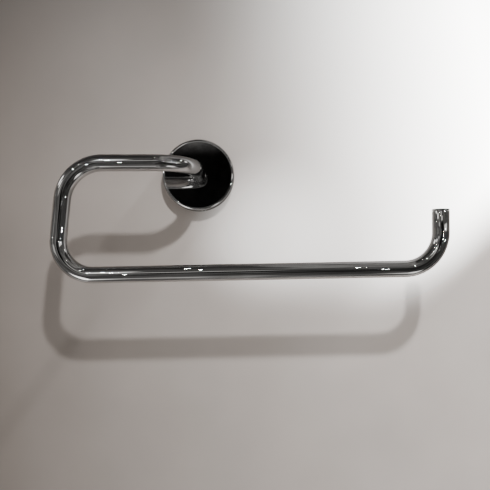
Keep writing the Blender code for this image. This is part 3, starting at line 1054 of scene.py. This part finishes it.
        # Where each rib's rings of points lie, as a share of its length.
        rib = ((low, 0.15), (low, 0.3), (high, 0.92), (high, 1.0))
        outline = [(high - small, 0), (high, small), (high, self.plug_collar)]
        for i in range(self.plug_ribs):
            outline += [(radius, self.plug_collar + (i + share) * rib_length) for radius, share in rib]
        profile = [
            (self.hole_radius + small, 0), *outline, (high - self.plug_chamfer, self.plug_length),
            (self.hole_radius, self.plug_length), (self.hole_radius, small),
        ]
        shell = turned(profile, steps=64, ring=True)
        slot = bmesh.new()
        bmesh.ops.create_cube(slot, size=1.0)
        length = self.plug_slot_length + CUTTER_MARGIN
        bmesh.ops.scale(slot, verts=slot.verts, vec=(self.plug_slot_width, 3 * self.plug_radius, length))
        bmesh.ops.translate(slot, verts=slot.verts, vec=(0, 0, self.plug_length + CUTTER_MARGIN - length / 2))
        place = Matrix.Translation((0, self.plug_sunk, height)) @ INTO_WALL
        self.fit("wall_plug_" + which, bored(shell, [slot]), place, Slot.NYLON, Body.WALL_SIDE)


# ---------------------------------------------------------------- the room


@dataclass(frozen=True)
class Glow:
    """A soft patch of light in the room, as seen from the holder.

    Attributes:
        bearing: Its middle, in degrees from straight out of the wall towards the right.
        height: Its middle, in degrees above the horizon.
        width: Half its width, in degrees.
        tall: Half its height, in degrees.
        strength: Its brightness in the middle.
        core: Share of its size that is fully bright.
    """

    bearing: float
    height: float
    width: float
    tall: float
    strength: float
    core: float = 0.5


@dataclass(frozen=True)
class Fade:
    """A value on the wall that goes from one level to another between two places.

    Attributes:
        along: Name of the way that it goes along.
        start: Where on that way it starts, in metres except along the cloud.
        end: Where it ends.
        first: The value at the start and before.
        last: The value at the end and after.
        style: SMOOTHSTEP for gentle ends, or LINEAR.
    """

    along: str
    start: float
    end: float
    first: float
    last: float
    style: str = "SMOOTHSTEP"

    @property
    def span(self) -> dict[str, float]:
        """Its places and levels, by the names that Blender has for them."""
        return {"From Min": self.start, "From Max": self.end, "To Min": self.first, "To Max": self.last}


@dataclass
class Setting:
    """The room round the holder: a lacquered wall with painted shade and painted window light, a pale floor,
    lamps, the dim room and the camera.

    Attributes:
        wall_gap: Clearance between the wall and what stands on it.
        wall_radius: Radius of the wall.
        wall_opening: Radius of the opening behind the bracket, for the screws.
        wall_shaded_left: Colour of the wall at the left, darker there as painted shade.
        wall_pale: Colour of the wall at the right, where the painted shade ends.
        wall_rough: Roughness of its lacquer.
        wall_slant: How much the painted window light grows towards the top, as a share of that to the right.
        wall_shadow: How much the edge of the painted shade above the holder, in what polished metal mirrors,
            falls per metre to the right.
        window_colour: Colour of the window light painted on it as glow.
        painted_window_light: Strength of that painted light at its brightest.
        window_curve: Power that its strength rises with.
        window_patch: Middle of a small painted patch of it behind the holder.
        mirror_light: Share of it that polished metal mirrors.
        floor_drop: How far below the holder the floor lies.
        floor_radius: Radius of the floor.
        floor_colour: Colour of the floor.
        floor_rough: Roughness of the floor.
        lamp_place: Where the main lamp is.
        lamp_radius: Its radius.
        lamp_power: Its power in watts.
        grazing_place: Where a lamp is that grazes the wall from the upper right.
        grazing_power: Its power in watts.
        grazing_radius: Its radius.
        spot_power: Power of each small lamp of the row, in watts.
        spot_radius: Their radius.
        panel_place: Where a soft panel is that lights the holder's back.
        panel_size: Length of its sides.
        panel_power: Its power in watts.
        ambient: Brightness of the room for matt surfaces.
        room_colour: Colour of the room in what metal mirrors.
        behind_wall: Extra brightness of what is mirrored behind the wall.
        clutter: Lowest and highest brightness that the room's clutter gives it, as factors.
        backdrop: Colour of the room where the camera sees it.
        camera_place: Where the camera is.
        camera_yaw: Its heading, in degrees from straight at the wall towards the right.
        camera_pitch: Its heading above the horizon, in degrees.
        camera_roll: Its roll, in degrees.
        lens: Its focal length, in millimetres.
        sensor: Width of its sensor, in millimetres.
        clip_start: Nearest distance that it sees.
    """

    wall_gap: float = 0.1 * MM
    wall_radius: float = 2.5
    wall_opening: float = 21.5 * MM
    # The wall's colour darkens from the right to the left as painted shade.
    wall_shaded_left: str = "#79716B"
    wall_pale: str = "#DCD3CD"
    wall_rough: float = 0.3
    wall_slant: float = 0.15
    wall_shadow: float = 0.45
    window_colour: str = "#FFFEFB"
    painted_window_light: float = 10.0
    window_curve: float = 3.0
    window_patch: tuple[float, float, float] = (55 * MM, 0.0, -45 * MM)
    mirror_light: float = 0.1
    floor_drop: float = 1.2
    floor_radius: float = 6.0
    floor_colour: str = "#D8D5D1"
    floor_rough: float = 0.6
    lamp_place: tuple[float, float, float] = (126 * MM, -500 * MM, 365 * MM)
    lamp_radius: float = 15 * MM
    lamp_power: float = 16.0
    grazing_place: tuple[float, float, float] = (0.9, -0.165, 1.17)
    grazing_power: float = 110.0
    grazing_radius: float = 30 * MM
    spot_power: float = 1.6
    spot_radius: float = 12 * MM
    panel_place: tuple[float, float, float] = (-0.5, 0.9, 0.7)
    panel_size: float = 0.9
    panel_power: float = 12.0
    ambient: float = 0.45
    room_colour: str = "#FFFBF6"
    behind_wall: float = 0.5
    clutter: Point = (0.15, 2.1)
    backdrop: str = "#D9D7D4"
    camera_place: tuple[float, float, float] = (30.7 * MM, -351.2 * MM, -50.8 * MM)
    camera_yaw: float = 0.31
    camera_pitch: float = 0.29
    camera_roll: float = -0.12
    lens: float = 36.0
    sensor: float = 36.0
    clip_start: float = 0.01

    # Painted shade: from the wall's shaded colour at the left to its pale one at the right.
    PAINTED_FALLOFF = Fade("across", -0.16, 0.2, 0.0, 1.0, "LINEAR")
    # The painted window light, a glow in the wall's own emission: how it rises, its small patch, and where it
    # ends on each side.
    WINDOW_RISE = Fade("slant", -0.02, 0.215, 0.0, 1.0, "LINEAR")
    WINDOW_PATCH = Fade("from_patch", 0.01, 0.07, 0.9, 0.0)
    WINDOW_ENDS = (
        Fade("up", -0.105, -0.055, 0.06, 1.0),
        Fade("across", 0.2, 0.34, 1.0, 0.0),
        Fade("up", 0.1, 0.3, 1.0, 0.0),
        Fade("corner", 0.205, 0.265, 1.0, 0.0),
    )
    # Painted shade: how much darker the wall's colour gets above the holder, to all eyes and in what polished
    # metal mirrors.
    # Painted shade above the holder, seen by all eyes.
    PAINTED_SHADE_ABOVE = Fade("up", -0.01, 0.13, 1.0, 0.38, "LINEAR")
    # More painted shade above a slanted edge, only in what polished metal mirrors.
    MIRRORED_PAINTED_SHADE = Fade("shadow", -0.08, -0.04, 1.0, 0.33, "LINEAR")
    CLOUD = Fade("cloud", 0.3, 0.7, 0.94, 1.05, "LINEAR")

    # The room's brightness at heights above the horizon, in degrees, on three sides of the holder.
    LEFT_ROOM = (
        (-90, 0.15), (-65, 0.09), (-50, 0.06), (-35, 0.12), (-20, 0.12), (-8, 0.20), (0, 0.10), (8, 0.08),
        (16, 0.20), (24, 0.12), (36, 0.07), (50, 0.05), (70, 0.02), (90, 0.04),
    )
    MIDDLE_ROOM = (
        (-90, 0.17), (-64, 0.26), (-50, 0.14), (-36, 0.09), (-20, 0.07), (-6, 0.10), (2, 0.12), (12, 0.11),
        (30, 0.11), (50, 0.09), (65, 0.03), (90, 0.06),
    )
    RIGHT_ROOM = (
        (-90, 0.17), (-64, 0.14), (-45, 0.07), (-20, 0.05), (-2, 0.045), (10, 0.10), (20, 0.09), (36, 0.17),
        (50, 0.20), (70, 0.28), (90, 0.22),
    )
    # Each next side of the room, with the bearings between which it takes over, in degrees.
    NEXT_SIDES = ((MIDDLE_ROOM, -50, -25), (RIGHT_ROOM, 2, 14))
    GLOWS = (
        Glow(44, 6, 24, 4.5, 1.3),
        Glow(-7, 18, 14, 3.5, 0.6),
        Glow(-18, 28, 4, 10, 1.4),
        Glow(-14, 2, 5, 4, 0.5),
        Glow(-52, -6, 14, 5, 0.5),
        Glow(-40, 11, 8, 3, 0.5),
        Glow(-84, 26, 9, 6, 3.5),
        Glow(-60, 20, 8, 4, 2.0),
        Glow(-47, -50, 20, 16, 3.4),
        Glow(46, -50, 17, 9, 1.8),
        Glow(86, 27, 4, 5, 4.0),
        Glow(-58, 3, 5, 5, 0.3),
        Glow(-20, -58, 17, 8, 0.3),
        Glow(42, -60, 7, 6, 0.2),
        Glow(76, -60, 15, 12, 0.3),
    )
    SHADES = (
        Glow(-5, 7, 15, 9, 0.97),
        Glow(16, -6, 14, 20, 0.6),
        Glow(72, 44, 34, 18, 0.8),
    )
    # Bearing and height of each small lamp, in degrees, and its distance in metres.
    SMALL_LAMPS = (
        (-7, 41, 2.0), (-16, 63, 1.6), (-20, 30, 2.2), (-43, 34, 2.0), (-37, 24, 2.4), (-63, 22, 2.2),
        (39, 21, 2.2), (44, 3, 2.6), (52, -5, 2.4), (76, 42, 1.8), (-59, 2, 2.6), (-85, 12, 2.2),
        (-17, 20, 2.4), (-14, -3, 2.5), (18, 1, 3.0), (-55, -62, 1.4), (17, 29, 2.2), (87, 36, 1.8),
    )

    def build(self) -> None:
        """Sets up the wall, the floor, the lamps, the room and the camera."""
        self.wall()
        self.floor()
        self.lamps()
        self.room()
        self.camera()

    def wall(self) -> None:
        """Hangs the wall just behind the holder; it is seen only from the room."""
        sheet = turned([(self.wall_opening, 0), (self.wall_radius, 0)], steps=128)
        for face in sheet.faces:
            if face.normal.z < 0:
                face.normal_flip()
        place = Matrix.Translation((0, self.wall_gap, 0)) @ OUT_OF_WALL
        bmesh.ops.transform(sheet, matrix=place, verts=sheet.verts)
        wall = mesh_object("wall", sheet)
        # The wall's material carries painted shade and a painted glow of window light.
        wall.data.materials.append(self.lacquer())

    def lacquer(self) -> bpy.types.Material:
        """Glossy grey lacquer, painted darker to the left and above the holder as painted shade, with soft
        window light painted on it as glow at the upper right.
        """
        material, tree, shader = new_material("grey_wall_lacquer_and_painted_light")
        place = add_node(tree, "ShaderNodeTexCoord").outputs["Object"]
        spot = add_node(tree, "ShaderNodeSeparateXYZ", {"Vector": place})
        x, z = spot.outputs["X"], spot.outputs["Z"]
        from_patch = add_node(
            tree, "ShaderNodeVectorMath", {0: place, 1: self.window_patch}, operation="DISTANCE",
        )
        ways = {
            "across": x,
            "up": z,
            "from_patch": from_patch.outputs["Value"],
            "cloud": add_node(tree, "ShaderNodeTexNoise", {"Vector": place, "Scale": 14.0, "Detail": 3.0}),
        }
        for name, operation, *values in (
            ("slant", "MULTIPLY_ADD", z, self.wall_slant, x),
            ("shadow", "MULTIPLY_ADD", x, self.wall_shadow, z),
            ("corner", "SUBTRACT", x, z),
        ):
            ways[name] = add_node(tree, "ShaderNodeMath", dict(enumerate(values)), operation=operation)
        fades = {
            fade: add_node(
                tree, "ShaderNodeMapRange", {"Value": ways[fade.along], **fade.span},
                interpolation_type=fade.style,
            )
            for fade in (
                self.PAINTED_FALLOFF, self.WINDOW_RISE, self.WINDOW_PATCH, *self.WINDOW_ENDS, self.PAINTED_SHADE_ABOVE,
                self.MIRRORED_PAINTED_SHADE, self.CLOUD,
            )
        }
        # In what polished metal mirrors, the painted window light is weak and the wall carries more painted
        # shade above the holder.
        mirrored = add_node(tree, "ShaderNodeLightPath").outputs["Is Glossy Ray"]
        light_share, shade_share = (
            add_node(tree, "ShaderNodeMix", {0: mirrored, 2: 1.0, 3: share}, data_type="FLOAT")
            for share in (self.mirror_light, fades[self.MIRRORED_PAINTED_SHADE])
        )
        light = fades[self.WINDOW_RISE]
        for operation, value in (
            ("POWER", self.window_curve),
            ("MULTIPLY", self.painted_window_light),
            ("ADD", fades[self.WINDOW_PATCH]),
            *(("MULTIPLY", fades[end]) for end in self.WINDOW_ENDS),
            ("MULTIPLY", light_share),
        ):
            light = add_node(tree, "ShaderNodeMath", {0: light, 1: value}, operation=operation)
        # Painted shade: the wall's colour darkened above the holder, times a faint random cloud.
        shade = fades[self.PAINTED_SHADE_ABOVE]
        for value in (shade_share, fades[self.CLOUD]):
            shade = add_node(tree, "ShaderNodeMath", {0: shade, 1: value}, operation="MULTIPLY")
        # The wall's colour, painted darker towards the left as painted shade.
        tone = add_node(
            tree, "ShaderNodeMix",
            {0: fades[self.PAINTED_FALLOFF], 6: linear(self.wall_shaded_left), 7: linear(self.wall_pale)}, data_type="RGBA",
        )
        base = add_node(tree, "ShaderNodeVectorMath", {0: tone.outputs[2], "Scale": shade}, operation="SCALE")
        tree.links.new(base.outputs["Vector"], shader.inputs["Base Color"])
        # The window light is painted on as glow in the wall's own emission.
        tree.links.new(light.outputs["Value"], shader.inputs["Emission Strength"])
        shader.inputs["Emission Color"].default_value = linear(self.window_colour)
        shader.inputs["Roughness"].default_value = self.wall_rough
        # Seen from behind, the wall is not there, so that the holder's back can be looked at.
        behind = add_node(tree, "ShaderNodeNewGeometry").outputs["Backfacing"]
        clear = add_node(tree, "ShaderNodeBsdfTransparent")
        one_sided = add_node(tree, "ShaderNodeMixShader", {0: behind, 1: shader, 2: clear})
        tree.links.new(one_sided.outputs["Shader"], tree.nodes["Material Output"].inputs["Surface"])
        return material

    def floor(self) -> None:
        """Lays the pale floor, well below the holder."""
        sheet = bmesh.new()
        bmesh.ops.create_circle(sheet, cap_ends=True, segments=96, radius=self.floor_radius)
        bmesh.ops.translate(sheet, verts=sheet.verts, vec=(0, 0, -self.floor_drop))
        floor = mesh_object("floor", sheet)
        floor.visible_glossy = False
        material, tree, shader = new_material("pale_floor_paint")
        place = add_node(tree, "ShaderNodeTexCoord").outputs["Object"]
        cloud = add_node(tree, "ShaderNodeTexNoise", {"Vector": place, "Scale": 3.0})
        tone = add_node(
            tree, "ShaderNodeMix", {0: cloud, 6: linear(self.floor_colour), 7: linear(self.backdrop)},
            data_type="RGBA",
        )
        tree.links.new(tone.outputs[2], shader.inputs["Base Color"])
        shader.inputs["Roughness"].default_value = self.floor_rough
        floor.data.materials.append(material)

    def lamp(self, name: str, place: Sequence[float], power: float, radius: float) -> bpy.types.Object:
        """Hangs a round lamp.

        Args:
            name: Its name.
            place: Where it hangs.
            power: Its power in watts.
            radius: Its radius.

        Returns:
            The lamp.
        """
        light = bpy.data.lights.new(name, "POINT")
        light.energy = power
        light.shadow_soft_size = radius
        lamp = bpy.data.objects.new(name, light)
        lamp.location = place
        bpy.context.scene.collection.objects.link(lamp)
        return lamp

    def lamps(self) -> None:
        """Hangs the main lamp, a row of small ones further off, and a soft panel behind the wall."""
        main_lamp = self.lamp("main_lamp", self.lamp_place, self.lamp_power, self.lamp_radius)
        grazing = self.lamp("grazing_lamp", self.grazing_place, self.grazing_power, self.grazing_radius)
        for lamp in (main_lamp, grazing):
            lamp.visible_glossy = False
        for i, (bearing, height, away) in enumerate(self.SMALL_LAMPS):
            turn, climb = math.radians(bearing), math.radians(height)
            level = math.cos(climb)
            ahead = Vector((level * math.sin(turn), -level * math.cos(turn), math.sin(climb)))
            self.lamp(f"small_lamp_{i + 1}", away * ahead, self.spot_power, self.spot_radius)
        light = bpy.data.lights.new("back_panel", "AREA")
        light.energy = self.panel_power
        light.size = self.panel_size
        panel = bpy.data.objects.new("back_panel", light)
        panel.location = self.panel_place
        panel.rotation_euler = (-panel.location).to_track_quat("-Z", "Y").to_euler()
        bpy.context.scene.collection.objects.link(panel)

    def room(self) -> None:
        """Builds the dim room that bright metal mirrors, and the pale backdrop that the camera sees."""
        world = bpy.data.worlds.new("room")
        bpy.context.scene.world = world
        world.use_nodes = True
        tree = world.node_tree
        heading = add_node(tree, "ShaderNodeTexCoord").outputs["Object"]
        way = add_node(tree, "ShaderNodeSeparateXYZ", {"Vector": heading})
        out = add_node(tree, "ShaderNodeMath", {0: way.outputs["Y"], 1: -1.0}, operation="MULTIPLY")
        bearing = add_node(tree, "ShaderNodeMath", {0: way.outputs["X"], 1: out}, operation="ARCTAN2")
        height = add_node(tree, "ShaderNodeMath", {0: way.outputs["Z"]}, operation="ARCSINE")
        total = self.by_height(tree, height, self.LEFT_ROOM)
        for stops, start, end in self.NEXT_SIDES:
            seam = add_node(
                tree, "ShaderNodeMapRange",
                {"Value": bearing, "From Min": math.radians(start), "From Max": math.radians(end)},
                interpolation_type="SMOOTHSTEP",
            )
            total = add_node(
                tree, "ShaderNodeMix", {0: seam, 2: total, 3: self.by_height(tree, height, stops)},
                data_type="FLOAT",
            )
        noise = add_node(
            tree, "ShaderNodeTexNoise", {"Vector": heading, "Scale": 4.5, "Detail": 7.0, "Roughness": 0.75},
        )
        uneven = add_node(tree, "ShaderNodeMapRange", {
            "Value": noise, "From Min": 0.36, "From Max": 0.66, "To Min": self.clutter[0],
            "To Max": self.clutter[1],
        })
        steps = [("MULTIPLY", uneven)]
        steps += [("ADD", self.patch(tree, bearing, height, glow)) for glow in self.GLOWS]
        for shade in self.SHADES:
            cover = self.patch(tree, bearing, height, shade)
            kept = add_node(tree, "ShaderNodeMath", {0: 1.0, 1: cover}, operation="SUBTRACT")
            steps.append(("MULTIPLY", kept))
        # Behind the wall the room is brighter, so that the holder's back can be looked at.
        behind = add_node(
            tree, "ShaderNodeMapRange",
            {"Value": way.outputs["Y"], "From Max": 0.3, "To Max": self.behind_wall},
            interpolation_type="SMOOTHSTEP",
        )
        for operation, value in (*steps, ("ADD", behind)):
            total = add_node(tree, "ShaderNodeMath", {0: total, 1: value}, operation=operation)
        path = add_node(tree, "ShaderNodeLightPath")
        seen = add_node(
            tree, "ShaderNodeMix", {0: path.outputs["Is Diffuse Ray"], 2: total, 3: self.ambient},
            data_type="FLOAT",
        )
        mirrored = add_node(
            tree, "ShaderNodeBackground", {"Color": linear(self.room_colour), "Strength": seen},
        )
        pale = add_node(tree, "ShaderNodeBackground", {"Color": linear(self.backdrop), "Strength": 1.0})
        either = add_node(
            tree, "ShaderNodeMixShader", {0: path.outputs["Is Camera Ray"], 1: mirrored, 2: pale},
        )
        output = tree.nodes.get("World Output") or tree.nodes.new("ShaderNodeOutputWorld")
        tree.links.new(either.outputs["Shader"], output.inputs["Surface"])

    def by_height(
        self, tree: bpy.types.NodeTree, height: bpy.types.Node, stops: Sequence[Point],
    ) -> bpy.types.Node:
        """Brightness that changes with the height above the horizon.

        Args:
            tree: The node tree.
            height: The height, in radians.
            stops: Heights in degrees, each with a brightness.

        Returns:
            The node that gives the brightness.
        """
        level = add_node(tree, "ShaderNodeMapRange", {
            "Value": height, "From Min": -math.pi / 2, "From Max": math.pi / 2,
        })
        ramp = add_node(tree, "ShaderNodeValToRGB", {"Fac": level})
        ramp.color_ramp.interpolation = "B_SPLINE"
        elements = ramp.color_ramp.elements
        while len(elements) < len(stops):
            elements.new(0.5)
        for element, (degrees, value) in zip(elements, stops):
            element.position = (degrees + 90.0) / 180.0
            element.color = (value, value, value, 1.0)
        return ramp

    def patch(
        self, tree: bpy.types.NodeTree, bearing: bpy.types.Node, height: bpy.types.Node, glow: Glow,
    ) -> bpy.types.Node:
        """One soft-edged patch of light.

        Args:
            tree: The node tree.
            bearing: The bearing, in radians.
            height: The height, in radians.
            glow: The patch.

        Returns:
            The node that gives its brightness.
        """
        sides = []
        for value, middle, half in ((bearing, glow.bearing, glow.width), (height, glow.height, glow.tall)):
            edge = math.radians(half)
            off = add_node(tree, "ShaderNodeMath", {0: value, 1: math.radians(middle)}, operation="SUBTRACT")
            away = add_node(tree, "ShaderNodeMath", {0: off}, operation="ABSOLUTE")
            sides.append(add_node(
                tree, "ShaderNodeMapRange",
                {"Value": away, "From Min": glow.core * edge, "From Max": edge, "To Min": 1.0, "To Max": 0.0},
                interpolation_type="SMOOTHSTEP",
            ))
        both = add_node(tree, "ShaderNodeMath", dict(enumerate(sides)), operation="MULTIPLY")
        return add_node(tree, "ShaderNodeMath", {0: both, 1: glow.strength}, operation="MULTIPLY")

    def camera(self) -> None:
        """Stands the camera in front of the holder and makes it the scene's."""
        yaw, pitch, roll = (math.radians(a) for a in (self.camera_yaw, self.camera_pitch, self.camera_roll))
        ahead = Vector((math.sin(yaw) * math.cos(pitch), math.cos(yaw) * math.cos(pitch), math.sin(pitch)))
        level = ahead.cross(Vector((0, 0, 1))).normalized()
        upright = level.cross(ahead)
        right = level * math.cos(roll) + upright * math.sin(roll)
        up = upright * math.cos(roll) - level * math.sin(roll)
        turn = Matrix((right, up, -ahead)).transposed().to_4x4()
        lens = bpy.data.cameras.new("camera")
        lens.lens = self.lens
        lens.sensor_width = self.sensor
        lens.clip_start = self.clip_start
        camera = bpy.data.objects.new("camera", lens)
        camera.matrix_world = Matrix.Translation(self.camera_place) @ turn
        bpy.context.scene.collection.objects.link(camera)
        bpy.context.scene.camera = camera


def main() -> None:
    """Builds the holder and its room, in order."""
    logging.basicConfig(level=logging.INFO, format="%(name)s: %(message)s")
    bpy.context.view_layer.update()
    paint = Paint()
    for assembly in (WallFixing(paint), Rosette(paint), Arm(paint)):
        assembly.build()
    Setting().build()


if __name__ == "__main__":
    main()
